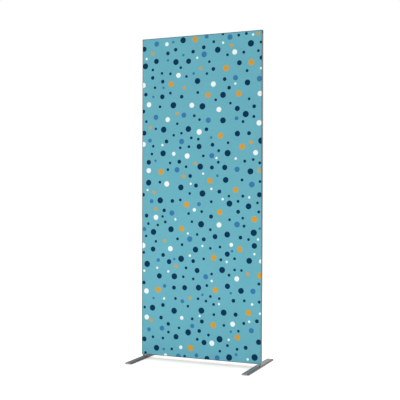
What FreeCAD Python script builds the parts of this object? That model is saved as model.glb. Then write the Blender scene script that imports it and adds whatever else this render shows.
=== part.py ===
import FreeCAD, Part
import os
import Sketcher
from FreeCAD import Placement, Rotation, Vector

# A textile room divider: a slim aluminium frame with a stretched textile on both faces, on two flat feet.
# X runs along the panel, the front faces -Y, Z is up and the floor is at zero under the panel's middle.

# Driving dimensions in millimetres, one cell of the sheet each.
SIZES = {
    # The frame's outline, and the gap left under it.
    "frame_width": 800,
    "frame_height": 2000,
    "frame_lift": 20,
    # The extrusion: an outer lip, a groove for the textile on both faces and a closed chamber.
    "profile_face": 20,
    "profile_depth": 20,
    "lip_wall": 3,
    "lip_radius": 0.5,
    "groove_width": 3.6,
    "groove_web": 3,
    "shoulder_drop": 0.6,
    "chamber_wall": 1.5,
    # The lower length of each upright, and the bar inside that joins it to the upper length.
    "lower_length": 980,
    "splice_length": 120,
    "splice_screw_first": 15,
    "splice_screw_pitch": 30,
    # Corner blocks, whose tongues plug into the chambers, and the round post under the bottom ones.
    "tongue_length": 40,
    "tongue_screw_inset": 20,
    "post_diameter": 16,
    # Grub screws in the inner wall, tightened on the tongues and the splice bars.
    "grub_diameter": 5,
    "grub_length": 4,
    "grub_socket": 2.5,
    "grub_socket_depth": 2,
    # The middle brace, above the splice, with a flanged plug in each end.
    "brace_rise": 40,
    "brace_face": 20,
    "brace_depth": 15,
    "brace_wall": 1.5,
    "plug_flange": 3,
    "plug_height": 46,
    "plug_reach": 35,
    "brace_screw_diameter": 4,
    "brace_screw_length": 8,
    "brace_screw_margin": 6.5,
    "brace_head_diameter": 7,
    "brace_head_height": 2.6,
    "brace_socket": 2.5,
    "brace_socket_depth": 1.6,
    # The textile, its hem in the groove and the silicone strip sewn in the hem.
    "fabric_thickness": 0.5,
    "fabric_gap": 0.3,
    "hem_end_gap": 0.9,
    "strip_gap": 0.3,
    "strip_end_gap": 6,
    # The feet.
    "foot_length": 480,
    "foot_width": 45,
    "foot_thickness": 7,
    "foot_top_radius": 6,
    "bevel_width": 4,
    "bevel_height": 2.5,
    "pad_thickness": 1,
    "pad_length": 50,
    "pad_width": 32,
    "pad_inset": 12,
    # The bolt that each foot turns on.
    "bolt_diameter": 6,
    "bolt_end_gap": 0.6,
    "bolt_head_diameter": 12,
    "bolt_sink": 0.4,
    "bolt_socket": 4,
    "bolt_socket_depth": 2.4,
    "washer_diameter": 12,
    "washer_thickness": 1,
    "insert_diameter": 9,
    "insert_cover": 2,
    # Clearances, and how far a cut runs past the face that it opens.
    "fit_gap": 0.2,
    "thread_gap": 0.05,
    "running_gap": 0.1,
    "cut_overrun": 0.5,
}

# Places in the extrusion's section, inward from its outer face and out from its middle plane.
GROOVE_END = "(dims.lip_wall + dims.groove_width)"
SHOULDER = "(dims.profile_depth / 2 - dims.shoulder_drop)"
CHAMBER_NEAR = f"({GROOVE_END} + dims.chamber_wall)"
CHAMBER_FAR = "(dims.profile_face - dims.chamber_wall)"
CHAMBER_HALF = f"({SHOULDER} - dims.chamber_wall)"
TONGUE_NEAR = f"({CHAMBER_NEAR} + dims.fit_gap)"
TONGUE_FAR = f"({CHAMBER_FAR} - dims.fit_gap)"
TONGUE_DEPTH = f"(2 * ({CHAMBER_HALF} - dims.fit_gap))"

# Places on the frame.
HALF_WIDTH = "(dims.frame_width / 2)"
INNER_SIDE = f"({HALF_WIDTH} - dims.profile_face)"
RAIL_LENGTH = f"(2 * {INNER_SIDE})"
FRAME_TOP = "(dims.frame_lift + dims.frame_height)"
UPRIGHT_FOOT = "(dims.frame_lift + dims.profile_face)"
UPRIGHT_HEAD = f"({FRAME_TOP} - dims.profile_face)"
SEAM_HEIGHT = f"({UPRIGHT_FOOT} + dims.lower_length)"
UPPER_LENGTH = f"({UPRIGHT_HEAD} - {SEAM_HEIGHT})"
BRACE_ABOVE_SEAM = "(dims.splice_length / 2 + dims.brace_rise)"
BRACE_HEIGHT = f"({SEAM_HEIGHT} + {BRACE_ABOVE_SEAM})"
BRACE_SCREW_RISE = "(dims.plug_height / 2 - dims.brace_screw_margin)"

# Places of the textile, inward from the frame's outer face and out from the middle plane.
FABRIC_EDGE = "(dims.lip_wall + dims.fabric_gap)"
FABRIC_FACE = f"({SHOULDER} + dims.fabric_thickness)"
HEM_TIP = "(dims.groove_web / 2 + dims.hem_end_gap)"
STRIP_NEAR = f"({FABRIC_EDGE} + dims.fabric_thickness)"
STRIP_THICKNESS = f"({GROOVE_END} - dims.strip_gap - {STRIP_NEAR})"
STRIP_DEPTH = f"({SHOULDER} - dims.strip_gap - {HEM_TIP})"
STRIP_END = f"({GROOVE_END} + dims.strip_end_gap)"

# Heights and places at the feet, where X is measured from the swivel axis toward the panel's end.
PIVOT = f"({HALF_WIDTH} - dims.profile_face / 2)"
FOOT_TOP = "(dims.pad_thickness + dims.foot_thickness)"
POST_FOOT = f"({FOOT_TOP} + dims.washer_thickness)"
POST_HEIGHT = f"(dims.frame_lift - {POST_FOOT})"
FOOT_OUTER = "(dims.profile_face / 2)"
FOOT_INNER = f"({FOOT_OUTER} - dims.foot_width)"
HEAD_BOTTOM = "(dims.pad_thickness + dims.bolt_sink)"
HEAD_HEIGHT = "((dims.bolt_head_diameter - dims.bolt_diameter) / 2)"
INSERT_LENGTH = f"({POST_HEIGHT} + dims.lip_wall - dims.insert_cover)"
BOLT_TIP = f"({POST_FOOT} + {INSERT_LENGTH} - dims.bolt_end_gap)"

# The left half of the frame is built as it stands, and the right half is the same turned round.
X_AXIS = Vector(1, 0, 0)
Y_AXIS = Vector(0, 1, 0)
Z_AXIS = Vector(0, 0, 1)
AS_BUILT = Rotation()
TURNED_ROUND = Rotation(Z_AXIS, 180)
UPSIDE_DOWN = Rotation(X_AXIS, 180)
UPSIDE_DOWN_TURNED = Rotation(Y_AXIS, 180)
LENGTH_TO_RIGHT = Rotation(Y_AXIS, 90)
LENGTH_TO_LEFT = Rotation(Y_AXIS, -90)
SIDES = {"left": (AS_BUILT, "-"), "right": (TURNED_ROUND, "")}
INWARD = {"left": LENGTH_TO_RIGHT, "right": LENGTH_TO_LEFT}

doc = FreeCAD.newDocument("RoomDivider")
dims = doc.addObject("Spreadsheet::Sheet", "dims")
for row, (alias, size) in enumerate(SIZES.items(), start=1):
    dims.set(f"A{row}", alias)
    dims.set(f"B{row}", str(size))
    dims.setAlias(f"B{row}", alias)
doc.recompute()

pieces = []

# Lengths that differ by less than this are the same.
TOLERANCE = 1e-6


# Helpers for the document


def number(expression):
    """The present value of an expression in the sheet's cells."""
    return float(dims.evalExpression(expression))


def bind(item, **expressions):
    """Binds properties of a document object to expressions in the sheet's cells."""
    for name, expression in expressions.items():
        item.setExpression(name, expression)
    return item


def place(item, turn, x="0", y="0", z="0"):
    """Turns a piece and binds its place."""
    item.Placement = Placement(Vector(), turn)
    for axis, expression in (("x", x), ("y", y), ("z", z)):
        item.setExpression(f"Placement.Base.{axis}", expression)
    return item


def keep(item, label):
    """Names a finished piece and puts it on the list that is written out."""
    item.Label = label
    pieces.append(item)
    return item


def sketch(body, role, shift="0"):
    """A sketch on one of the body's own planes, moved along that plane's normal."""
    plane = next(item for item in body.Origin.OriginFeatures if item.Role == role)
    drawing = body.newObject("Sketcher::SketchObject", f"{body.Name}_sketch")
    drawing.AttachmentSupport = (plane, "")
    drawing.MapMode = "FlatFace"
    drawing.setExpression("AttachmentOffset.Base.z", shift)
    return drawing


def fix_point(drawing, element, point, x, y):
    """Holds a point of a sketch element at two bound distances from the sketch's origin."""
    for kind, expression in (("DistanceX", x), ("DistanceY", y)):
        held = Sketcher.Constraint(kind, -1, 1, element, point, number(expression))
        drawing.setExpression(f"Constraints[{drawing.addConstraint(held)}]", expression)


def outline(drawing, corners):
    """A closed outline of straight lines through corners given as pairs of expressions."""
    first = drawing.GeometryCount
    count = len(corners)
    points = [Vector(number(x), number(y), 0) for x, y in corners]
    for index in range(count):
        drawing.addGeometry(Part.LineSegment(points[index], points[(index + 1) % count]), False)
    for index, (x, y) in enumerate(corners):
        following = first + (index + 1) % count
        drawing.addConstraint(Sketcher.Constraint("Coincident", first + index, 2, following, 1))
        fix_point(drawing, first + index, 1, x, y)


def rectangle(drawing, x_low, x_high, y_low, y_high):
    outline(drawing, [(x_low, y_low), (x_high, y_low), (x_high, y_high), (x_low, y_high)])


def hexagon(drawing, across):
    """A hexagon about the sketch's origin, given its width across the flats."""
    corners = []
    for step in range(6):
        angle = f"({60 * step} deg)"
        corners.append((f"{across} / sqrt(3) * cos{angle}", f"{across} / sqrt(3) * sin{angle}"))
    outline(drawing, corners)


def circle(drawing, x, y, diameter):
    curve = Part.Circle(Vector(number(x), number(y), 0), Z_AXIS, number(diameter) / 2)
    element = drawing.addGeometry(curve, False)
    fix_point(drawing, element, 3, x, y)
    held = Sketcher.Constraint("Diameter", element, number(diameter))
    drawing.setExpression(f"Constraints[{drawing.addConstraint(held)}]", diameter)


def extrude(body, kind, drawing, length, side="One side", reverse=False):
    """A Pad or a Pocket of a sketch."""
    feature = body.newObject(f"PartDesign::{kind}", f"{body.Name}_{kind.lower()}")
    feature.Profile = drawing
    feature.SideType = side
    feature.Reversed = reverse
    return bind(feature, Length=length)


def revolve(body, kind, drawing):
    """A Revolution or a Groove of a sketch about its upright axis."""
    feature = body.newObject(f"PartDesign::{kind}", f"{body.Name}_{kind.lower()}")
    feature.Profile = drawing
    feature.ReferenceAxis = (drawing, ["V_Axis"])
    return feature


def dress(body, kind, chosen, **sizes):
    """A Fillet or a Chamfer on the edges of the body's tip that chosen picks."""
    doc.recompute()
    tip = body.Tip
    edges = [f"Edge{count}" for count, edge in enumerate(tip.Shape.Edges, start=1) if chosen(edge)]
    feature = body.newObject(f"PartDesign::{kind}", f"{body.Name}_{kind.lower()}")
    feature.Base = (tip, edges)
    return bind(feature, **sizes)


def new_body(name):
    return doc.addObject("PartDesign::Body", name)


def box(name, length, width, height):
    return bind(doc.addObject("Part::Box", name), Length=length, Width=width, Height=height)


def cylinder(name, diameter, height):
    return bind(doc.addObject("Part::Cylinder", name), Radius=f"{diameter} / 2", Height=height)


def ring(name, outer, inner, height):
    """A plain round bush, standing on its own origin."""
    return cut(name, cylinder(f"{name}_blank", outer, height), cylinder(f"{name}_bore", inner, height))


def cut(name, base, tool):
    result = doc.addObject("Part::Cut", name)
    result.Base = base
    result.Tool = tool
    return result


def hex_socket(name, across, depth, mouth):
    """The cutter for a hexagon socket that opens upward at a given height."""
    tool = doc.addObject("Part::Prism", name)
    tool.Polygon = 6
    bind(tool, Circumradius=f"{across} / sqrt(3)", Height=f"{depth} + dims.cut_overrun")
    return place(tool, AS_BUILT, z=f"{mouth} - {depth}")


def group(label, solids):
    """Like solids that share one node."""
    result = doc.addObject("Part::Compound", label)
    result.Links = solids
    return keep(result, label)


# The frame


def rounded_lip(body):
    """Rounds the lip's long edges, which lie in the two face planes. Its ends are as short as its wall."""
    face = number("dims.profile_depth / 2")
    wall = number("dims.lip_wall")

    def long_on_face(edge):
        on_face = all(abs(abs(vertex.Y) - face) < TOLERANCE for vertex in edge.Vertexes)
        return on_face and edge.Length > wall + TOLERANCE

    dress(body, "Fillet", long_on_face, Radius="dims.lip_radius")


def extrusion(label, length, holes):
    """One length of the extrusion along its own Z, with holes through the inner wall at given heights."""
    body = new_body(label)
    section = sketch(body, "XY_Plane")
    half_depth = "dims.profile_depth / 2"
    half_web = "dims.groove_web / 2"
    outline(section, [
        ("0", f"-{half_depth}"),
        ("dims.lip_wall", f"-{half_depth}"),
        ("dims.lip_wall", f"-{half_web}"),
        (GROOVE_END, f"-{half_web}"),
        (GROOVE_END, f"-{SHOULDER}"),
        ("dims.profile_face", f"-{SHOULDER}"),
        ("dims.profile_face", SHOULDER),
        (GROOVE_END, SHOULDER),
        (GROOVE_END, half_web),
        ("dims.lip_wall", half_web),
        ("dims.lip_wall", half_depth),
        ("0", half_depth),
    ])
    rectangle(section, CHAMBER_NEAR, CHAMBER_FAR, f"-{CHAMBER_HALF}", CHAMBER_HALF)
    extrude(body, "Pad", section, length)
    rounded_lip(body)
    drilling = sketch(body, "YZ_Plane", "dims.profile_face")
    for height, diameter in holes:
        circle(drilling, "0", height, f"({diameter} + 2 * dims.thread_gap)")
    extrude(body, "Pocket", drilling, "dims.chamber_wall + dims.cut_overrun")
    return keep(body, label)


def splice_holes(start, direction):
    """The two grub screw holes that an upright length has at its splice."""
    first = f"{start} {direction} dims.splice_screw_first"
    second = f"{first} {direction} dims.splice_screw_pitch"
    return [(first, "dims.grub_diameter"), (second, "dims.grub_diameter")]


def uprights():
    lower_holes = [("dims.tongue_screw_inset", "dims.grub_diameter")] + splice_holes("dims.lower_length", "-")
    upper_holes = splice_holes("0", "+")
    upper_holes.append((f"{UPPER_LENGTH} - dims.tongue_screw_inset", "dims.grub_diameter"))
    for sign in "-+":
        upper_holes.append((f"{BRACE_ABOVE_SEAM} {sign} {BRACE_SCREW_RISE}", "dims.brace_screw_diameter"))
    for side, (turn, sign) in SIDES.items():
        lower = extrusion(f"{side}_upright_lower", "dims.lower_length", lower_holes)
        place(lower, turn, x=f"{sign}{HALF_WIDTH}", z=UPRIGHT_FOOT)
        upper = extrusion(f"{side}_upright_upper", UPPER_LENGTH, upper_holes)
        place(upper, turn, x=f"{sign}{HALF_WIDTH}", z=SEAM_HEIGHT)


def rails():
    holes = [
        ("dims.tongue_screw_inset", "dims.grub_diameter"),
        (f"{RAIL_LENGTH} - dims.tongue_screw_inset", "dims.grub_diameter"),
    ]
    top = extrusion("top_rail", RAIL_LENGTH, holes)
    place(top, LENGTH_TO_RIGHT, x=f"-{INNER_SIDE}", z=FRAME_TOP)
    bottom = extrusion("bottom_rail", RAIL_LENGTH, holes)
    place(bottom, LENGTH_TO_LEFT, x=INNER_SIDE, z="dims.frame_lift")


def corner(label, with_post):
    """A corner block, seen from the frame's outer corner: X runs along the rail and Z along the upright."""
    body = new_body(label)
    lip = sketch(body, "XZ_Plane")
    outline(lip, [
        ("0", "0"),
        ("dims.profile_face", "0"),
        ("dims.profile_face", "dims.lip_wall"),
        ("dims.lip_wall", "dims.lip_wall"),
        ("dims.lip_wall", "dims.profile_face"),
        ("0", "dims.profile_face"),
    ])
    extrude(body, "Pad", lip, "dims.profile_depth", "Symmetric")
    rounded_lip(body)
    web = sketch(body, "XZ_Plane")
    rectangle(web, "0", "dims.profile_face", "0", "dims.profile_face")
    extrude(body, "Pad", web, "dims.groove_web", "Symmetric")
    core = sketch(body, "XZ_Plane")
    rectangle(core, GROOVE_END, "dims.profile_face", GROOVE_END, "dims.profile_face")
    extrude(body, "Pad", core, f"2 * {SHOULDER}", "Symmetric")
    tongues = sketch(body, "XZ_Plane")
    reach = "dims.profile_face + dims.tongue_length"
    outline(tongues, [
        (TONGUE_NEAR, TONGUE_NEAR),
        (reach, TONGUE_NEAR),
        (reach, TONGUE_FAR),
        (TONGUE_FAR, TONGUE_FAR),
        (TONGUE_FAR, reach),
        (TONGUE_NEAR, reach),
    ])
    extrude(body, "Pad", tongues, TONGUE_DEPTH, "Symmetric")
    if with_post:
        post = sketch(body, "XY_Plane", f"-{POST_HEIGHT}")
        circle(post, "dims.profile_face / 2", "0", "dims.post_diameter")
        extrude(body, "Pad", post, f"{POST_HEIGHT} + dims.lip_wall / 2")
        bore = sketch(body, "XY_Plane", f"-{POST_HEIGHT}")
        circle(bore, "dims.profile_face / 2", "0", "(dims.insert_diameter + 2 * dims.thread_gap)")
        extrude(body, "Pocket", bore, INSERT_LENGTH, reverse=True)
    return keep(body, label)


def corners():
    top_turns = {"left": UPSIDE_DOWN, "right": UPSIDE_DOWN_TURNED}
    for side, (turn, sign) in SIDES.items():
        top = corner(f"top_{side}_corner", with_post=False)
        place(top, top_turns[side], x=f"{sign}{HALF_WIDTH}", z=FRAME_TOP)
        bottom = corner(f"bottom_{side}_corner", with_post=True)
        place(bottom, turn, x=f"{sign}{HALF_WIDTH}", z="dims.frame_lift")


def splice_bars():
    """A bar in the chambers of each upright, across its seam, as thick as a corner tongue."""
    start = f"{SEAM_HEIGHT} - dims.splice_length / 2"
    for side, (turn, sign) in SIDES.items():
        bar = box(f"{side}_splice_bar", f"{TONGUE_FAR} - {TONGUE_NEAR}", TONGUE_DEPTH, "dims.splice_length")
        keep(bar, f"{side}_splice_bar")
        place(bar, turn, x=f"{sign}({HALF_WIDTH} - {TONGUE_NEAR})", y=f"{sign}{TONGUE_DEPTH} / 2", z=start)


# Screws of the frame


def grub_screw(name, turn, x, z):
    """A grub screw whose tip stands at a given place and whose socket end points along its own Z."""
    socket = hex_socket(f"{name}_socket", "dims.grub_socket", "dims.grub_socket_depth", "dims.grub_length")
    screw = cut(name, cylinder(f"{name}_blank", "dims.grub_diameter", "dims.grub_length"), socket)
    return place(screw, turn, x=x, z=z)


def corner_screws():
    """One grub screw in each end of the rails and of the uprights, tightened on a corner tongue."""
    screws = []
    along = f"({INNER_SIDE} - dims.tongue_screw_inset)"
    depth = f"({HALF_WIDTH} - {TONGUE_FAR})"
    for side, sign in (("left", "-"), ("right", "")):
        inward = INWARD[side]
        for name, turn, x, z in (
            ("bottom", AS_BUILT, along, f"dims.frame_lift + {TONGUE_FAR}"),
            ("top", UPSIDE_DOWN, along, f"{FRAME_TOP} - {TONGUE_FAR}"),
            ("low", inward, depth, f"{UPRIGHT_FOOT} + dims.tongue_screw_inset"),
            ("high", inward, depth, f"{UPRIGHT_HEAD} - dims.tongue_screw_inset"),
        ):
            screws.append(grub_screw(f"grub_{name}_{side}", turn, f"{sign}{x}", z))
    group("corner_grub_screws", screws)


def splice_screws():
    """Two grub screws in each upright length, tightened on the splice bar."""
    screws = []
    depth = f"({HALF_WIDTH} - {TONGUE_FAR})"
    for side, sign in (("left", "-"), ("right", "")):
        for level, direction in (("below", "-"), ("above", "+")):
            for count, (height, _) in enumerate(splice_holes(SEAM_HEIGHT, direction)):
                name = f"grub_splice_{side}_{level}_{count}"
                screws.append(grub_screw(name, INWARD[side], f"{sign}{depth}", height))
    group("splice_grub_screws", screws)


def brace_screw(name, turn, x, z):
    """A cap screw, its head seated at a given place and pointing along its own Z."""
    shank = cylinder(f"{name}_shank", "dims.brace_screw_diameter", "dims.brace_screw_length")
    place(shank, AS_BUILT, z="-dims.brace_screw_length")
    blank = doc.addObject("Part::Fuse", f"{name}_blank")
    blank.Base = cylinder(f"{name}_head", "dims.brace_head_diameter", "dims.brace_head_height")
    blank.Tool = shank
    mouth = "dims.brace_head_height"
    socket = hex_socket(f"{name}_socket", "dims.brace_socket", "dims.brace_socket_depth", mouth)
    return place(cut(name, blank, socket), turn, x=x, z=z)


def brace_screws():
    screws = []
    seat = f"({INNER_SIDE} - dims.plug_flange)"
    for side, sign in (("left", "-"), ("right", "")):
        for level, direction in (("lower", "-"), ("upper", "+")):
            height = f"{BRACE_HEIGHT} {direction} {BRACE_SCREW_RISE}"
            screws.append(brace_screw(f"brace_screw_{side}_{level}", INWARD[side], f"{sign}{seat}", height))
    group("brace_screws", screws)


# The middle brace


def brace():
    body = new_body("middle_brace")
    section = sketch(body, "YZ_Plane")
    for wall in ("0", "dims.brace_wall"):
        half_depth = f"(dims.brace_depth / 2 - {wall})"
        half_face = f"(dims.brace_face / 2 - {wall})"
        rectangle(section, f"-{half_depth}", half_depth, f"-{half_face}", half_face)
    extrude(body, "Pad", section, f"{RAIL_LENGTH} - 2 * dims.plug_flange", "Symmetric")
    place(body, AS_BUILT, z=BRACE_HEIGHT)
    keep(body, "middle_brace")


def brace_plug(label):
    """A flange against the upright and a tongue in the brace's end, with two screw holes in the flange."""
    body = new_body(label)
    flange = sketch(body, "YZ_Plane")
    half_depth = "dims.brace_depth / 2"
    rectangle(flange, f"-{half_depth}", half_depth, "-dims.plug_height / 2", "dims.plug_height / 2")
    extrude(body, "Pad", flange, "dims.plug_flange")
    tongue = sketch(body, "YZ_Plane")
    inset = "(dims.brace_wall + dims.fit_gap)"
    half_tongue = f"({half_depth} - {inset})"
    half_rise = f"(dims.brace_face / 2 - {inset})"
    rectangle(tongue, f"-{half_tongue}", half_tongue, f"-{half_rise}", half_rise)
    extrude(body, "Pad", tongue, "dims.plug_flange + dims.plug_reach")
    drilling = sketch(body, "YZ_Plane", "dims.plug_flange")
    for sign in ("-", ""):
        diameter = "(dims.brace_screw_diameter + 2 * dims.running_gap)"
        circle(drilling, "0", f"{sign}{BRACE_SCREW_RISE}", diameter)
    extrude(body, "Pocket", drilling, "dims.plug_flange + dims.cut_overrun")
    return keep(body, label)


def brace_plugs():
    for side, (turn, sign) in SIDES.items():
        place(brace_plug(f"{side}_brace_plug"), turn, x=f"{sign}{INNER_SIDE}", z=BRACE_HEIGHT)


# The textiles


def textile(label):
    """A stretched sheet on the frame's front shoulder, with its hem turned back into the groove all round."""
    body = new_body(label)
    half = f"({HALF_WIDTH} - {FABRIC_EDGE})"
    low = f"(dims.frame_lift + {FABRIC_EDGE})"
    high = f"({FRAME_TOP} - {FABRIC_EDGE})"
    sheet = sketch(body, "XZ_Plane", HEM_TIP)
    rectangle(sheet, f"-{half}", half, low, high)
    extrude(body, "Pad", sheet, f"{FABRIC_FACE} - {HEM_TIP}")
    inside = sketch(body, "XZ_Plane", HEM_TIP)
    hem = "dims.fabric_thickness"
    rectangle(inside, f"-({half} - {hem})", f"{half} - {hem}", f"{low} + {hem}", f"{high} - {hem}")
    extrude(body, "Pocket", inside, f"{SHOULDER} - {HEM_TIP}", reverse=True)
    return keep(body, label)


def edge_strips(face, across):
    """The four silicone strips in one textile's hem."""
    long_run = f"dims.frame_width - 2 * {STRIP_END}"
    tall_run = f"dims.frame_height - 2 * {STRIP_END}"
    left = f"({STRIP_NEAR} - {HALF_WIDTH})"
    right = f"({HALF_WIDTH} - {STRIP_NEAR} - {STRIP_THICKNESS})"
    start = f"({STRIP_END} - {HALF_WIDTH})"
    bottom = f"(dims.frame_lift + {STRIP_NEAR})"
    top = f"({FRAME_TOP} - {STRIP_NEAR} - {STRIP_THICKNESS})"
    foot = f"(dims.frame_lift + {STRIP_END})"
    runs = {
        "top": (start, top, long_run, STRIP_THICKNESS),
        "bottom": (start, bottom, long_run, STRIP_THICKNESS),
        "left": (left, foot, STRIP_THICKNESS, tall_run),
        "right": (right, foot, STRIP_THICKNESS, tall_run),
    }
    for edge, (x, z, length, height) in runs.items():
        label = f"{face}_{edge}_strip"
        strip = keep(box(label, length, STRIP_DEPTH, height), label)
        place(strip, AS_BUILT, x=x, y=across, z=z)


def textiles():
    place(textile("front_textile"), AS_BUILT)
    edge_strips("front", f"-({HEM_TIP} + {STRIP_DEPTH})")
    place(textile("back_textile"), TURNED_ROUND)
    edge_strips("back", HEM_TIP)


# The feet


def foot_plate(label):
    """A flat plate about its swivel axis, bevelled round its top, with a countersunk hole from below."""
    body = new_body(label)
    plan = sketch(body, "XY_Plane", "dims.pad_thickness")
    rectangle(plan, FOOT_INNER, FOOT_OUTER, "-dims.foot_length / 2", "dims.foot_length / 2")
    extrude(body, "Pad", plan, "dims.foot_thickness")
    top = number(FOOT_TOP)
    thickness = number("dims.foot_thickness")

    def upright(edge):
        return abs(edge.BoundBox.ZLength - thickness) < TOLERANCE

    def on_top(edge):
        return all(abs(vertex.Z - top) < TOLERANCE for vertex in edge.Vertexes)

    dress(body, "Fillet", upright, Radius="dims.bevel_width + dims.foot_top_radius")
    bevel = dress(body, "Chamfer", on_top, Size="dims.bevel_height", Size2="dims.bevel_width")
    bevel.ChamferType = "Two distances"
    hole = sketch(body, "XZ_Plane")
    head = "(dims.bolt_head_diameter / 2 + dims.running_gap)"
    shank = "(dims.bolt_diameter / 2 + dims.running_gap)"
    under = "(dims.pad_thickness - dims.cut_overrun)"
    over = f"({FOOT_TOP} + dims.cut_overrun)"
    outline(hole, [
        ("0", under),
        (head, under),
        (head, HEAD_BOTTOM),
        (shank, f"{HEAD_BOTTOM} + {HEAD_HEIGHT}"),
        (shank, over),
        ("0", over),
    ])
    revolve(body, "Groove", hole)
    return keep(body, label)


def foot_bolt(label):
    """A countersunk bolt on the swivel axis, its socket opening downward."""
    body = new_body(label)
    side = sketch(body, "XZ_Plane")
    outline(side, [
        ("0", HEAD_BOTTOM),
        ("dims.bolt_head_diameter / 2", HEAD_BOTTOM),
        ("dims.bolt_diameter / 2", f"{HEAD_BOTTOM} + {HEAD_HEIGHT}"),
        ("dims.bolt_diameter / 2", BOLT_TIP),
        ("0", BOLT_TIP),
    ])
    revolve(body, "Revolution", side)
    socket = sketch(body, "XY_Plane", HEAD_BOTTOM)
    hexagon(socket, "dims.bolt_socket")
    extrude(body, "Pocket", socket, "dims.bolt_socket_depth", reverse=True)
    return keep(body, label)


def foot_pads(label):
    """Two rubber pads under a foot, one near each end."""
    pads = []
    for end, start in (
        ("front", "dims.pad_inset - dims.foot_length / 2"),
        ("back", "dims.foot_length / 2 - dims.pad_inset - dims.pad_length"),
    ):
        pad = box(f"{label}_{end}", "dims.pad_width", "dims.pad_length", "dims.pad_thickness")
        place(pad, AS_BUILT, x=f"({FOOT_INNER} + {FOOT_OUTER} - dims.pad_width) / 2", y=start)
        pads.append(pad)
    return group(label, pads)


def feet():
    """Each foot is built with its outer end toward +X, so the left one is turned round."""
    for side, turn, x in (("left", TURNED_ROUND, f"-{PIVOT}"), ("right", AS_BUILT, PIVOT)):
        place(foot_plate(f"{side}_foot_plate"), turn, x=x)
        place(foot_pads(f"{side}_foot_pads"), turn, x=x)
        place(foot_bolt(f"{side}_foot_bolt"), turn, x=x)
        bore = "(dims.bolt_diameter + 2 * dims.running_gap)"
        washer = ring(f"{side}_swivel_washer", "dims.washer_diameter", bore, "dims.washer_thickness")
        place(keep(washer, f"{side}_swivel_washer"), turn, x=x, z=FOOT_TOP)
        thread = "(dims.bolt_diameter + 2 * dims.thread_gap)"
        insert = ring(f"{side}_threaded_insert", "dims.insert_diameter", thread, INSERT_LENGTH)
        place(keep(insert, f"{side}_threaded_insert"), turn, x=x, z=POST_FOOT)


uprights()
rails()
corners()
splice_bars()
corner_screws()
splice_screws()
brace()
brace_plugs()
brace_screws()
textiles()
feet()
doc.recompute()

for item in doc.Objects:
    if "Invalid" in item.State or "Error" in item.State:
        raise RuntimeError(f"{item.Label} did not compute: {item.State}")
for piece in pieces:
    if piece.Shape.isNull() or not piece.Shape.isValid():
        raise RuntimeError(f"{piece.Label} has no valid shape")

os.makedirs("parts", exist_ok=True)
for piece in pieces:
    piece.Shape.exportStep(f"parts/{piece.Label}.step")
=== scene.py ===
import math
import random

import bpy
from mathutils import Matrix, Vector
from mathutils.geometry import delaunay_2d_cdt


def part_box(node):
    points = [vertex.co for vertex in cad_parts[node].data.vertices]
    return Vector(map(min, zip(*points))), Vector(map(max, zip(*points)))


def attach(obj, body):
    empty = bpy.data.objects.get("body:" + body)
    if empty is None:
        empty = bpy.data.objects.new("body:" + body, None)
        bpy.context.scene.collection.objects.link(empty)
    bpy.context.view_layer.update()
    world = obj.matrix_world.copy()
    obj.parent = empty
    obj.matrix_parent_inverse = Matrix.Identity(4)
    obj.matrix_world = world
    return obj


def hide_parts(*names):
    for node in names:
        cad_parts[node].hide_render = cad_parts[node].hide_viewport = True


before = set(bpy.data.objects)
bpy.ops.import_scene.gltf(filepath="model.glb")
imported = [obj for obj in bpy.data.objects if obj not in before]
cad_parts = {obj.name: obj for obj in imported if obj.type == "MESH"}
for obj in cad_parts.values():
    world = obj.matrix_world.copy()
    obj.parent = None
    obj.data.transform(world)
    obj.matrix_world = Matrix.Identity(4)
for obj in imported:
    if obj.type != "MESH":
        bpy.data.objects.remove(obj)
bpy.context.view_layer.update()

# Looks of a textile room divider: two printed textiles stretched in an aluminium frame on flat feet.
# Lengths are in metres, written as millimetres times MM where they are small.

MM = 0.001


# Building blocks of a finish

# The sockets of a colour Mix node, which share their names with its other sockets.
FACTOR, FIRST, SECOND = 0, 6, 7


def colour(code):
    """An sRGB hex colour as the linear values that a shader takes."""
    channels = [int(code[start:start + 2], 16) / 255 for start in (1, 3, 5)]
    linear = [c / 12.92 if c <= 0.04045 else ((c + 0.055) / 1.055) ** 2.4 for c in channels]
    return (*linear, 1)


def add(tree, kind, inputs=None, **settings):
    """Adds a node. Each input is a value, a socket to link, or a node whose first output is linked."""
    made = tree.nodes.new("ShaderNode" + kind)
    for name, value in settings.items():
        setattr(made, name, value)
    for name, value in (inputs or {}).items():
        if isinstance(value, bpy.types.Node):
            value = next(socket for socket in value.outputs if socket.enabled)
        if isinstance(value, bpy.types.NodeSocket):
            tree.links.new(value, made.inputs[name])
        else:
            made.inputs[name].default_value = value
    return made


def start_finish(name):
    """A new material and its empty node tree."""
    material = bpy.data.materials.new(name)
    material.use_nodes = True
    material.node_tree.nodes.clear()
    return material, material.node_tree


# Finishes


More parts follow.
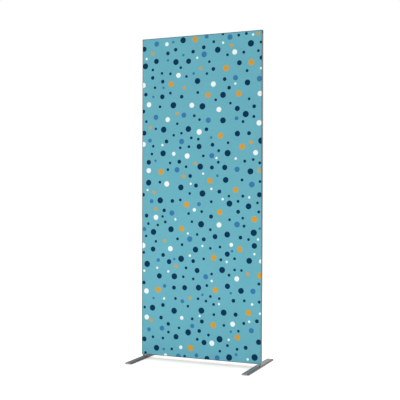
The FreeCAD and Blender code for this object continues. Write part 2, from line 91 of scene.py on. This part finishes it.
def printed_knit(name, ink):
    """Polyester warp knit, dye printed. Matt and even, with soft loops and a faint fuzz at flat angles.

    The real loops are 0.5 mm wide. They are drawn six times as wide, because the render shows none finer.
    """
    wale, course, leg_rise = 3.0 * MM, 2.4 * MM, 1.6
    patch_size = 170 * MM
    shade, fade = 0.93, 1.05
    ink_colour = colour(ink)
    shaded_ink = [shade * channel for channel in ink_colour[:3]] + [1]
    faded_ink = [min(fade * channel, 1) for channel in ink_colour[:3]] + [1]
    material, tree = start_finish(name)
    place = add(tree, "TexCoord").outputs["Object"]
    axes = add(tree, "SeparateXYZ", {"Vector": place}).outputs
    across = add(tree, "Math", {0: axes["X"], 1: 1 / wale}, operation="MULTIPLY")
    along = add(tree, "Math", {0: axes["Z"], 1: 1 / course}, operation="MULTIPLY")
    leg = add(tree, "Math", {0: across, 1: 0.5}, operation="PINGPONG")
    row = add(tree, "Math", {0: leg, 1: leg_rise, 2: along}, operation="MULTIPLY_ADD")
    turn = add(tree, "Math", {0: row, 1: 2 * math.pi}, operation="MULTIPLY")
    wave = add(tree, "Math", {0: turn}, operation="SINE")
    loops = add(tree, "MapRange", {"Value": wave, "From Min": -1.0})
    valley = add(tree, "MapRange", {"Value": leg, "From Max": 0.2})
    height = add(tree, "Math", {0: loops, 1: valley}, operation="MULTIPLY")
    # Painted shade: the valleys between the loops are drawn a little darker than the loop tops.
    yarn = add(tree, "Mix", {FACTOR: height, FIRST: shaded_ink, SECOND: ink_colour}, data_type="RGBA")
    cloud = add(tree, "TexNoise", {"Vector": place, "Scale": 1 / patch_size, "Detail": 2.0})
    patch = add(tree, "MapRange", {"Value": cloud, "From Min": 0.35, "From Max": 0.75, "To Max": 0.5})
    shader = add(tree, "BsdfPrincipled", {
        "Base Color": add(tree, "Mix", {FACTOR: patch, FIRST: yarn, SECOND: faded_ink}, data_type="RGBA"),
        "Roughness": 0.9,
        "Sheen Weight": 0.02,
        "Sheen Roughness": 0.5,
        "Specular IOR Level": 0.06,
        "Normal": add(tree, "Bump", {"Height": height, "Distance": 0.15 * MM, "Strength": 0.5}),
    })
    add(tree, "OutputMaterial", {"Surface": shader})
    return material


def anodised_aluminium(name, length_axis):
    """Aluminium, extruded and satin anodised. Silver grey, with faint drawn lines along each length.

    Real die lines are a tenth of a millimetre wide. They are drawn ten times as wide, so that they show.
    """
    line_size = [1.0 * MM] * 3
    line_size[length_axis] = 140 * MM
    cloud_size = 60 * MM
    haze_share = 0.35
    material, tree = start_finish(name)
    place = add(tree, "TexCoord").outputs["Object"]
    stretched = add(tree, "Mapping", {"Vector": place, "Scale": [1 / size for size in line_size]})
    drawn = add(tree, "TexNoise", {"Vector": stretched, "Scale": 1.0, "Detail": 4.0, "Roughness": 0.65})
    cloud = add(tree, "TexNoise", {"Vector": place, "Scale": 1 / cloud_size, "Detail": 3.0})
    haze = add(tree, "Math", {0: cloud, 1: haze_share}, operation="MULTIPLY")
    lines = {FACTOR: drawn, FIRST: colour("#6C6E70"), SECOND: colour("#888B8D")}
    tone = {FACTOR: haze, FIRST: add(tree, "Mix", lines, data_type="RGBA"), SECOND: colour("#74777A")}
    shader = add(tree, "BsdfPrincipled", {
        "Base Color": add(tree, "Mix", tone, data_type="RGBA"),
        "Metallic": 1.0,
        "Roughness": add(tree, "MapRange", {"Value": drawn, "To Min": 0.26, "To Max": 0.42}),
        "Normal": add(tree, "Bump", {"Height": drawn, "Distance": 0.05 * MM, "Strength": 0.4}),
    })
    add(tree, "OutputMaterial", {"Surface": shader})
    return material


def moulded_nylon(name):
    """Nylon, injection moulded in a spark-eroded tool. Dark grey and matt, with a fine pebbled skin."""
    pebble_size, cloud_size = 0.9 * MM, 9 * MM
    material, tree = start_finish(name)
    place = add(tree, "TexCoord").outputs["Object"]
    skin = add(tree, "TexVoronoi", {"Vector": place, "Scale": 1 / pebble_size}, feature="SMOOTH_F1")
    cloud = add(tree, "TexNoise", {"Vector": place, "Scale": 1 / cloud_size, "Detail": 3.0})
    tone = {FACTOR: cloud, FIRST: colour("#303234"), SECOND: colour("#45484B")}
    shader = add(tree, "BsdfPrincipled", {
        "Base Color": add(tree, "Mix", tone, data_type="RGBA"),
        "Roughness": add(tree, "MapRange", {"Value": skin, "To Min": 0.48, "To Max": 0.66}),
        "IOR": 1.53,
        "Normal": add(tree, "Bump", {"Height": skin, "Distance": 0.08 * MM, "Strength": 0.5}),
    })
    add(tree, "OutputMaterial", {"Surface": shader})
    return material


def coated_zinc(name):
    """Zinc, pressure die-cast, with a satin silver coat. Pale grey with a silky, slightly cloudy skin."""
    grain_size, cloud_size = 0.8 * MM, 12 * MM
    material, tree = start_finish(name)
    place = add(tree, "TexCoord").outputs["Object"]
    skin = add(tree, "TexNoise", {"Vector": place, "Scale": 1 / grain_size, "Detail": 4.0})
    cloud = add(tree, "TexNoise", {"Vector": place, "Scale": 1 / cloud_size, "Detail": 3.0})
    tone = {FACTOR: cloud, FIRST: colour("#7E8486"), SECOND: colour("#979C9E")}
    shader = add(tree, "BsdfPrincipled", {
        "Base Color": add(tree, "Mix", tone, data_type="RGBA"),
        "Metallic": 0.25,
        "Roughness": add(tree, "MapRange", {"Value": skin, "To Min": 0.38, "To Max": 0.56}),
        "Normal": add(tree, "Bump", {"Height": skin, "Distance": 0.06 * MM, "Strength": 0.5}),
    })
    add(tree, "OutputMaterial", {"Surface": shader})
    return material


def coated_steel(name, middle, half_width):
    """Flat steel bar, powder coated silver grey. Finely pebbled, with faint rubbed streaks, painted shade on
    its long edges and painted light on its ends.
    """
    peel_size = 1.6 * MM
    rub_size = [1.2 * MM, 110 * MM, 1.2 * MM]
    unshaded_share, full_shade_share = 0.25, 0.8
    tilted, square_on = 0.75, 0.95
    material, tree = start_finish(name)
    coordinates = add(tree, "TexCoord").outputs
    place = coordinates["Object"]
    peel = add(tree, "TexNoise", {"Vector": place, "Scale": 1 / peel_size, "Detail": 2.0})
    stretched = add(tree, "Mapping", {"Vector": place, "Scale": [1 / size for size in rub_size]})
    rubbed = add(tree, "TexNoise", {"Vector": stretched, "Scale": 1.0, "Detail": 4.0, "Roughness": 0.6})
    axes = add(tree, "SeparateXYZ", {"Vector": place}).outputs
    outward = add(tree, "Math", {0: axes["X"]}, operation="ABSOLUTE")
    aside = add(tree, "Math", {0: outward, 1: middle}, operation="SUBTRACT")
    off_middle = add(tree, "Math", {0: aside}, operation="ABSOLUTE")
    # Painted shade: the bar is drawn darker from its middle out towards its long edges.
    rim = add(tree, "MapRange", {
        "Value": off_middle,
        "From Min": unshaded_share * half_width,
        "From Max": full_shade_share * half_width,
    }, interpolation_type="SMOOTHSTEP")
    # Painted light: faces that look along the bar, its ends, are drawn brighter.
    facing = add(tree, "SeparateXYZ", {"Vector": coordinates["Normal"]}).outputs
    lengthwise = add(tree, "Math", {0: facing["Y"]}, operation="ABSOLUTE")
    end = add(tree, "MapRange", {"Value": lengthwise, "From Min": tilted, "From Max": square_on})
    rubbing = {FACTOR: rubbed, FIRST: colour("#737476"), SECOND: colour("#939496")}
    # The dark grey here is the painted shade on the long edges.
    shading = {FACTOR: rim, FIRST: add(tree, "Mix", rubbing, data_type="RGBA"), SECOND: colour("#626365")}
    # The pale grey here is the painted light on the end faces.
    coat = {FACTOR: end, FIRST: add(tree, "Mix", shading, data_type="RGBA"), SECOND: colour("#A9AAAB")}
    shader = add(tree, "BsdfPrincipled", {
        "Base Color": add(tree, "Mix", coat, data_type="RGBA"),
        "Metallic": 0.3,
        "Specular IOR Level": 0.3,
        "Roughness": add(tree, "MapRange", {"Value": peel, "To Min": 0.34, "To Max": 0.5}),
        "Normal": add(tree, "Bump", {"Height": peel, "Distance": 0.06 * MM, "Strength": 0.4}),
    })
    add(tree, "OutputMaterial", {"Surface": shader})
    return material


def extruded_silicone(name):
    """Silicone, extruded. Milky white and soft, with a dull, slightly greasy shine."""
    cloud_size = 14 * MM
    material, tree = start_finish(name)
    place = add(tree, "TexCoord").outputs["Object"]
    cloud = add(tree, "TexNoise", {"Vector": place, "Scale": 1 / cloud_size, "Detail": 3.0})
    tone = {FACTOR: cloud, FIRST: colour("#D6D8D9"), SECOND: colour("#E8E9E8")}
    shader = add(tree, "BsdfPrincipled", {
        "Base Color": add(tree, "Mix", tone, data_type="RGBA"),
        "Roughness": add(tree, "MapRange", {"Value": cloud, "To Min": 0.38, "To Max": 0.52}),
        "IOR": 1.41,
        "Subsurface Weight": 0.2,
        "Subsurface Scale": 1.5 * MM,
    })
    add(tree, "OutputMaterial", {"Surface": shader})
    return material


def die_cut_rubber(name):
    """Rubber sheet, die cut. Near black and dull, with a fine grainy skin."""
    grain_size = 0.7 * MM
    material, tree = start_finish(name)
    place = add(tree, "TexCoord").outputs["Object"]
    skin = add(tree, "TexNoise", {"Vector": place, "Scale": 1 / grain_size, "Detail": 4.0})
    tone = {FACTOR: skin, FIRST: colour("#1B1B1C"), SECOND: colour("#2C2D2E")}
    shader = add(tree, "BsdfPrincipled", {
        "Base Color": add(tree, "Mix", tone, data_type="RGBA"),
        "Roughness": add(tree, "MapRange", {"Value": skin, "To Min": 0.72, "To Max": 0.9}),
        "IOR": 1.52,
        "Normal": add(tree, "Bump", {"Height": skin, "Distance": 0.1 * MM, "Strength": 0.6}),
    })
    add(tree, "OutputMaterial", {"Surface": shader})
    return material


def turned_nylon(name):
    """Nylon rod, turned. Off-white and waxy, with fine tool rings."""
    ring_size = [40 * MM, 40 * MM, 0.4 * MM]
    material, tree = start_finish(name)
    place = add(tree, "TexCoord").outputs["Object"]
    stretched = add(tree, "Mapping", {"Vector": place, "Scale": [1 / size for size in ring_size]})
    rings = add(tree, "TexNoise", {"Vector": stretched, "Scale": 1.0, "Detail": 2.0})
    tone = {FACTOR: rings, FIRST: colour("#D9D5CB"), SECOND: colour("#E6E3DA")}
    shader = add(tree, "BsdfPrincipled", {
        "Base Color": add(tree, "Mix", tone, data_type="RGBA"),
        "Roughness": add(tree, "MapRange", {"Value": rings, "To Min": 0.38, "To Max": 0.5}),
        "IOR": 1.53,
        "Normal": add(tree, "Bump", {"Height": rings, "Distance": 0.05 * MM, "Strength": 0.4}),
    })
    add(tree, "OutputMaterial", {"Surface": shader})
    return material


def turned_brass(name):
    """Brass rod, turned. Warm yellow, with bright tool rings."""
    ring_size = [40 * MM, 40 * MM, 0.3 * MM]
    material, tree = start_finish(name)
    place = add(tree, "TexCoord").outputs["Object"]
    stretched = add(tree, "Mapping", {"Vector": place, "Scale": [1 / size for size in ring_size]})
    rings = add(tree, "TexNoise", {"Vector": stretched, "Scale": 1.0, "Detail": 2.0})
    tone = {FACTOR: rings, FIRST: colour("#B98A45"), SECOND: colour("#D3A860")}
    shader = add(tree, "BsdfPrincipled", {
        "Base Color": add(tree, "Mix", tone, data_type="RGBA"),
        "Metallic": 1.0,
        "Roughness": add(tree, "MapRange", {"Value": rings, "To Min": 0.24, "To Max": 0.38}),
        "Normal": add(tree, "Bump", {"Height": rings, "Distance": 0.05 * MM, "Strength": 0.4}),
    })
    add(tree, "OutputMaterial", {"Surface": shader})
    return material


def plated_steel(name):
    """Steel, cold formed and zinc plated. Bright grey with a faint cloudy bloom."""
    bloom_size = 2.5 * MM
    material, tree = start_finish(name)
    place = add(tree, "TexCoord").outputs["Object"]
    bloom = add(tree, "TexNoise", {"Vector": place, "Scale": 1 / bloom_size, "Detail": 4.0})
    tone = {FACTOR: bloom, FIRST: colour("#A9ADB2"), SECOND: colour("#C6C9CC")}
    shader = add(tree, "BsdfPrincipled", {
        "Base Color": add(tree, "Mix", tone, data_type="RGBA"),
        "Metallic": 1.0,
        "Roughness": add(tree, "MapRange", {"Value": bloom, "To Min": 0.28, "To Max": 0.44}),
    })
    add(tree, "OutputMaterial", {"Surface": shader})
    return material


# The finish of each solid, by the end of its name

X_AXIS, Z_AXIS = 0, 2
foot_low, foot_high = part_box("right_foot_plate")
foot_middle = (foot_low.x + foot_high.x) / 2
upright_finish = anodised_aluminium("anodised_aluminium_upright", Z_AXIS)
rail_finish = anodised_aluminium("anodised_aluminium_rail", X_AXIS)
corner_finish = moulded_nylon("moulded_nylon")
casting_finish = coated_zinc("coated_die_cast_zinc")
screw_finish = plated_steel("zinc_plated_steel")
FINISH_BY_ENDING = {
    "_upright_lower": upright_finish,
    "_upright_upper": upright_finish,
    "_rail": rail_finish,
    "middle_brace": rail_finish,
    "top_left_corner": corner_finish,
    "top_right_corner": corner_finish,
    "_brace_plug": corner_finish,
    "bottom_left_corner": casting_finish,
    "bottom_right_corner": casting_finish,
    "_foot_plate": coated_steel("powder_coated_steel", foot_middle, foot_high.x - foot_middle),
    "_foot_pads": die_cut_rubber("die_cut_rubber"),
    "_strip": extruded_silicone("extruded_silicone"),
    "_swivel_washer": turned_nylon("turned_nylon"),
    "_threaded_insert": turned_brass("turned_brass"),
    "_screws": screw_finish,
    "_foot_bolt": screw_finish,
    "_splice_bar": screw_finish,
}

for node_name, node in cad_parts.items():
    for ending, finish in FINISH_BY_ENDING.items():
        if node_name.endswith(ending):
            for slot in node.material_slots:
                slot.link = "OBJECT"
                slot.material = finish


# The textiles

CLOTH_THICKNESS = 0.5 * MM
EDGE_RADIUS = 0.8 * MM
EDGE_STEPS = 4
CORNER_STEPS = 4
SIDE_STEP = 50 * MM
EVEN_BORDER = 3 * MM
MESH_STEP = 55 * MM
DOT_CLEARANCE = MESH_STEP / 5
ROUND_STEPS = 28
MERGE_DISTANCE = 1e-7

# The face of the cloth as the frame holds it, and how far its hem runs on round the edge and into the
# groove. Dots that cross the edge stop half way down the hem.
cloth_low, cloth_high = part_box("front_textile")
HALF_WIDTH = (cloth_high.x - cloth_low.x) / 2 - EDGE_RADIUS
HALF_HEIGHT = (cloth_high.z - cloth_low.z) / 2 - EDGE_RADIUS
FACE_MIDDLE = Vector(((cloth_high.x + cloth_low.x) / 2, cloth_low.y, (cloth_high.z + cloth_low.z) / 2))
EDGE_ARC = EDGE_RADIUS * math.pi / 2
HEM_REACH = EDGE_ARC + (cloth_high.y - cloth_low.y) - EDGE_RADIUS
PRINT_REACH = (EDGE_ARC + HEM_REACH) / 2

# The print: plain dots on a ground, as ink, diameter in millimetres and count.
INKS = {
    "ground": "#69B1C2",
    "navy": "#043658",
    "white": "#EDF8FB",
    "blue": "#397BAC",
    "orange": "#D29D38",
}
REVERSE_INK = "#DCE6E8"
DOTS = [
    ("navy", 38, 48),
    ("orange", 36, 24),
    ("blue", 34, 22),
    ("navy", 33, 26),
    ("white", 33, 25),
    ("blue", 26, 12),
    ("navy", 25, 44),
    ("white", 24, 8),
    ("orange", 21, 18),
    ("navy", 18, 118),
    ("blue", 17, 18),
    ("white", 15, 34),
]
DOT_GAP = 9 * MM
DOT_SPREAD = 0.06
DOT_ROOM = 40 * MM
INK_ROOM = 150 * MM
DOT_TRIES = 8
CORNER_KEEP = 12 * MM
PRINT_SEED = 41

# Where the two sides of the cloth lie on the map that the print is baked to: left edge, width and the
# share that is filled.
PRINTED_CHART = (0.0, 0.96, 1.0)
REVERSE_CHART = (0.965, 0.03, 0.94)
CUT_EDGE_CHART = (0.965, 0.03, 0.98)


def scatter_dots():
    """Dots thrown on the face, the large ones first, each in the best of a few random places.

    The best place has the most room to other dots, and lies far from the dots of its own ink.
    """
    throw = random.Random(PRINT_SEED)
    dots = []
    for ink, diameter, count in DOTS:
        for _ in range(count):
            radius = diameter / 2 * MM * throw.uniform(1 - DOT_SPREAD, 1 + DOT_SPREAD)
            places = []
            while len(places) < DOT_TRIES:
                x = throw.uniform(-HALF_WIDTH, HALF_WIDTH)
                y = throw.uniform(-HALF_HEIGHT, HALF_HEIGHT)
                corner = math.hypot(HALF_WIDTH - abs(x), HALF_HEIGHT - abs(y)) - radius
                room = min((math.hypot(x - a, y - b) - radius - r for a, b, r, _ in dots), default=DOT_ROOM)
                same = [math.hypot(x - a, y - b) for a, b, _, other in dots if other == ink]
                if room > DOT_GAP and corner > CORNER_KEEP:
                    worth = min(room / DOT_ROOM, 1) + min([INK_ROOM, *same]) / INK_ROOM
                    places.append((worth, x, y))
            _, x, y = max(places)
            dots.append((x, y, radius, ink))
    return dots


def cloth_loop(reach):
    """The points at one distance outside the flat face: along its sides, and round its corners."""
    corners = [(1, 1), (-1, 1), (-1, -1), (1, -1)]
    ends = []
    for quarter, (right, up) in enumerate(corners):
        if reach <= 0:
            ends.append([Vector((right * (HALF_WIDTH + reach), up * (HALF_HEIGHT + reach)))])
            continue
        middle = Vector((right * HALF_WIDTH, up * HALF_HEIGHT))
        angles = [(quarter + step / CORNER_STEPS) * math.pi / 2 for step in range(CORNER_STEPS + 1)]
        ends.append([middle + reach * Vector((math.cos(a), math.sin(a))) for a in angles])
    loop = []
    for here, following in zip(ends, ends[1:] + ends[:1]):
        loop += here
        count = round((following[0] - here[-1]).length / SIDE_STEP)
        loop += [here[-1].lerp(following[0], step / count) for step in range(1, count)]
    return loop


def clear_points(dots):
    """Points on a plain grid of the face that keep clear of the dots, so that the mesh has even triangles."""
    points = []
    columns = round(2 * HALF_WIDTH / MESH_STEP)
    rows = round(2 * HALF_HEIGHT / MESH_STEP)
    for column in range(1, columns):
        for row in range(1, rows):
            x = HALF_WIDTH * (2 * column / columns - 1)
            y = HALF_HEIGHT * (2 * row / rows - 1)
            if all(math.hypot(x - a, y - b) > r + DOT_CLEARANCE for a, b, r, _ in dots):
                points.append(Vector((x, y)))
    return points


def dot_outline(x, y, radius):
    """A dot's round edge, which stops part way down the hem where the dot runs over the cloth's edge."""
    wide = HALF_WIDTH + PRINT_REACH
    high = HALF_HEIGHT + PRINT_REACH
    points = []
    for step in range(ROUND_STEPS):
        angle = 2 * math.pi * step / ROUND_STEPS
        across = x + radius * math.cos(angle)
        along = y + radius * math.sin(angle)
        points.append(Vector((min(max(across, -wide), wide), min(max(along, -high), high))))
    return points


def cut_cloth(dots):
    """The flat cloth in triangles: its points, its faces, each face's ink and its outer edge's points."""
    arcs = [EDGE_ARC * step / EDGE_STEPS for step in range(EDGE_STEPS + 1)]
    loops = [cloth_loop(reach) for reach in [-EVEN_BORDER, *arcs, HEM_REACH]]
    points = []
    edges = []
    for loop in loops:
        first = len(points)
        edges += [(first + step, first + (step + 1) % len(loop)) for step in range(len(loop))]
        points += loop
    rim = list(range(len(points) - len(loops[-1]), len(points)))
    shapes = [rim]
    for x, y, radius, _ in dots:
        shapes.append(list(range(len(points), len(points) + ROUND_STEPS)))
        points += dot_outline(x, y, radius)
    if dots:
        points += clear_points(dots)
    inside_shapes = 1
    made = delaunay_2d_cdt(points, edges, shapes, inside_shapes, MERGE_DISTANCE)
    flat, _, faces, from_points, _, from_shapes = made
    found = {source: index for index, sources in enumerate(from_points) for source in sources}
    ink_names = list(INKS)
    kept = [(face, shape) for face, shape in zip(faces, from_shapes) if 0 in shape]
    inks = [ink_names.index(dots[max(shape) - 1][3]) if max(shape) else 0 for _, shape in kept]
    return flat, [face for face, _ in kept], inks, [found[index] for index in rim]


def on_frame(point, sunk):
    """Where a point of the flat cloth lies in the frame: on its face, round its edge or in the groove."""
    held = Vector((
        min(max(point.x, -HALF_WIDTH), HALF_WIDTH),
        min(max(point.y, -HALF_HEIGHT), HALF_HEIGHT),
    ))
    past = point - held
    run = past.length
    outward = past.normalized()
    turn = min(run / EDGE_RADIUS, math.pi / 2)
    normal = Vector((outward.x * math.sin(turn), -math.cos(turn), outward.y * math.sin(turn)))
    out = EDGE_RADIUS * math.sin(turn)
    back = EDGE_RADIUS * (1 - math.cos(turn)) + max(run - EDGE_ARC, 0)
    place = Vector((held.x + outward.x * out, back, held.y + outward.y * out))
    return FACE_MIDDLE + place - sunk * normal


def on_chart(point, left, width, share):
    """A point's place on the map that the print is baked to."""
    u = point.x / (2 * (HALF_WIDTH + HEM_REACH)) * share + 0.5
    v = point.y / (2 * (HALF_HEIGHT + HEM_REACH)) * share + 0.5
    return left + u * width, v


def make_textile(name, turn, printed_side, reverse_side, finishes):
    """One textile: a printed outer side, a plain reverse and the cut edge that joins them in the groove."""
    outer, outer_faces, inks, outer_rim = printed_side
    inner, inner_faces, _, inner_rim = reverse_side
    shift = len(outer)
    places = [on_frame(p, 0) for p in outer] + [on_frame(p, CLOTH_THICKNESS) for p in inner]
    faces = [list(face) for face in outer_faces]
    faces += [[index + shift for index in reversed(face)] for face in inner_faces]
    rim_steps = len(outer_rim)
    for step in range(rim_steps):
        after = (step + 1) % rim_steps
        faces.append([outer_rim[after], outer_rim[step], inner_rim[step] + shift, inner_rim[after] + shift])
    mesh = bpy.data.meshes.new(name)
    mesh.from_pydata([turn @ place for place in places], [], faces)
    for finish in finishes:
        mesh.materials.append(finish)
    reverse_finish = len(finishes) - 1
    mesh.polygons.foreach_set("material_index", inks + [reverse_finish] * (len(faces) - len(inks)))
    mesh.polygons.foreach_set("use_smooth", [True] * len(faces))
    bake_map = mesh.uv_layers.new(name="OFBake")
    flat = [*outer, *inner]
    printed = len(outer_faces)
    lined = printed + len(inner_faces)
    for polygon in mesh.polygons:
        for corner in polygon.loop_indices:
            vertex = mesh.loops[corner].vertex_index
            area = REVERSE_CHART
            if polygon.index < printed:
                area = PRINTED_CHART
            elif polygon.index >= lined and vertex < shift:
                area = CUT_EDGE_CHART
            bake_map.uv[corner].vector = on_chart(flat[vertex], *area)
    textile = bpy.data.objects.new(name, mesh)
    bpy.context.scene.collection.objects.link(textile)
    return textile


cloth_finishes = [printed_knit(f"printed_knit_{ink}", code) for ink, code in INKS.items()]
cloth_finishes.append(printed_knit("unprinted_knit", REVERSE_INK))
printed_cloth = cut_cloth(scatter_dots())
plain_cloth = cut_cloth([])
for face_name, turn in (("front", Matrix()), ("back", Matrix.Rotation(math.pi, 4, "Z"))):
    textile = make_textile(f"{face_name}_printed_textile", turn, printed_cloth, plain_cloth, cloth_finishes)
    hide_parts(f"{face_name}_textile")
    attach(textile, "frame")


# Floor, light and camera

# The open floor glows up to white, and the glow fades where a piece comes close.
FLOOR_SIZE = 60.0
FLOOR_GLOW = 0.4
CONTACT_REACH = 90 * MM
CONTACT_DEPTH = 2.5
CONTACT_SAMPLES = 12

# The world's light on the part, and as it is seen.
STUDIO_LIGHT = 0.88
BACKDROP_LIGHT = 1.0

# Where each lamp stands, where it aims, its side and its watts.
SOFTBOXES = {
    "front_softbox": ((-2.0, -4.0, 1.9), (0.0, 0.0, 1.9), 3.0, 21),
    "low_softbox": ((-0.2, -1.5, 0.2), (0.0, 0.0, 0.0), 1.2, 3.3),
    "top_softbox": ((0.3, 1.0, 5.0), (0.0, 0.1, 0.0), 2.0, 75),
}

# Dark cloths that only the metal's reflections show: a curtain behind the camera, a cloth on the floor from
# there to the panel, and a flag behind the panel's left end.
CURTAIN_WIDTH, CURTAIN_HEIGHT, CURTAIN_Y = 28.0, 14.0, -9.0
CLOTH_Y, CLOTH_RISE = -0.4, 1 * MM
FLAG_WIDTH, FLAG_HEIGHT, FLAG_X, FLAG_Y = 1.2, 0.42, -1.05, 0.6

# The camera, as solved from the panel's edges.
LENS_LENGTH, SENSOR_WIDTH = 71.199, 36.0
CAMERA_PLACE = (1.8985, -4.5047, 1.0196)
CAMERA_ANGLES = (89.792, -0.180, 22.904)


def show(name, points, finish):
    """A flat four-cornered piece of the studio."""
    mesh = bpy.data.meshes.new(name)
    mesh.from_pydata(points, [], [(0, 1, 2, 3)])
    mesh.materials.append(finish)
    piece = bpy.data.objects.new(name, mesh)
    bpy.context.scene.collection.objects.link(piece)
    return piece


def seen(tree):
    """One where the eye, a reflection or a clear piece shows a surface, zero where it only gives light."""
    rays = add(tree, "LightPath").outputs
    shown = add(tree, "Math", {0: rays["Is Camera Ray"], 1: rays["Is Glossy Ray"]}, operation="MAXIMUM")
    return add(tree, "Math", {0: shown, 1: rays["Is Transmission Ray"]}, operation="MAXIMUM")


def white_paper(name):
    """Paper, rolled out on the floor. A plain warm white, with a soft grey where a piece comes close, partly
    real shadow and partly painted shadow.
    """
    material, tree = start_finish(name)
    # Painted shadow: the floor's glow is dimmed by ambient occlusion where a piece comes close, on top of its
    # real shadow.
    closeness = add(tree, "AmbientOcclusion", {"Distance": CONTACT_REACH}, samples=CONTACT_SAMPLES)
    painted_contact_shadow = add(tree, "Math", {0: closeness.outputs["AO"], 1: CONTACT_DEPTH}, operation="POWER")
    glow = add(tree, "Math", {0: seen(tree), 1: painted_contact_shadow}, operation="MULTIPLY")
    shader = add(tree, "BsdfPrincipled", {
        "Base Color": colour("#F8F1EC"),
        "Roughness": 1.0,
        "Specular IOR Level": 0.0,
        "Emission Color": (FLOOR_GLOW, FLOOR_GLOW, FLOOR_GLOW, 1),
        "Emission Strength": glow,
    })
    add(tree, "OutputMaterial", {"Surface": shader})
    return material


def black_cloth(name):
    """Cotton, woven. A dull dark grey."""
    material, tree = start_finish(name)
    shader = add(tree, "BsdfPrincipled", {"Base Color": colour("#3C3C3C"), "Roughness": 1.0})
    add(tree, "OutputMaterial", {"Surface": shader})
    return material


def softbox(name, place, aim, size, watts):
    """A square lamp aimed at a point."""
    light = bpy.data.lights.new(name, "AREA")
    light.size = size
    light.energy = watts
    lamp = bpy.data.objects.new(name, light)
    lamp.location = place
    lamp.rotation_euler = (Vector(aim) - Vector(place)).to_track_quat("-Z", "Y").to_euler()
    bpy.context.scene.collection.objects.link(lamp)


SQUARE = [(-0.5, -0.5), (0.5, -0.5), (0.5, 0.5), (-0.5, 0.5)]
floor_corners = [(FLOOR_SIZE * x, FLOOR_SIZE * y, 0) for x, y in SQUARE]
show("floor", floor_corners, white_paper("white_paper"))

cotton = black_cloth("black_cotton")
cloth_depth = CLOTH_Y - CURTAIN_Y
dark_cloths = {
    "dark_curtain": [(CURTAIN_WIDTH * x, CURTAIN_Y, CURTAIN_HEIGHT * (z + 0.5)) for x, z in SQUARE],
    "dark_floor_cloth": [
        (CURTAIN_WIDTH * x, CURTAIN_Y + cloth_depth * (y + 0.5), CLOTH_RISE) for x, y in SQUARE
    ],
    "dark_flag": [(FLAG_X + FLAG_WIDTH * x, FLAG_Y, FLAG_HEIGHT * (z + 0.5)) for x, z in SQUARE],
}
for cloth_name, corners in dark_cloths.items():
    cloth = show(cloth_name, corners, cotton)
    cloth.visible_camera = False
    cloth.visible_diffuse = False
    cloth.visible_shadow = False

world = bpy.data.worlds.new("white_studio")
world.use_nodes = True
sky = world.node_tree
sky.nodes.clear()
studio = add(sky, "Background", {"Strength": STUDIO_LIGHT, "Color": colour("#FFFFFF")})
backdrop = add(sky, "Background", {"Strength": BACKDROP_LIGHT, "Color": colour("#FFFFFF")})
add(sky, "OutputWorld", {"Surface": add(sky, "MixShader", {0: seen(sky), 1: studio, 2: backdrop})})
bpy.context.scene.world = world

for lamp_name, lamp_setting in SOFTBOXES.items():
    softbox(lamp_name, *lamp_setting)

lens = bpy.data.cameras.new("camera")
lens.sensor_width = SENSOR_WIDTH
lens.lens = LENS_LENGTH
camera = bpy.data.objects.new("camera", lens)
camera.location = CAMERA_PLACE
camera.rotation_euler = [math.radians(angle) for angle in CAMERA_ANGLES]
bpy.context.scene.collection.objects.link(camera)
bpy.context.scene.camera = camera
bpy.context.scene.view_settings.view_transform = "Standard"
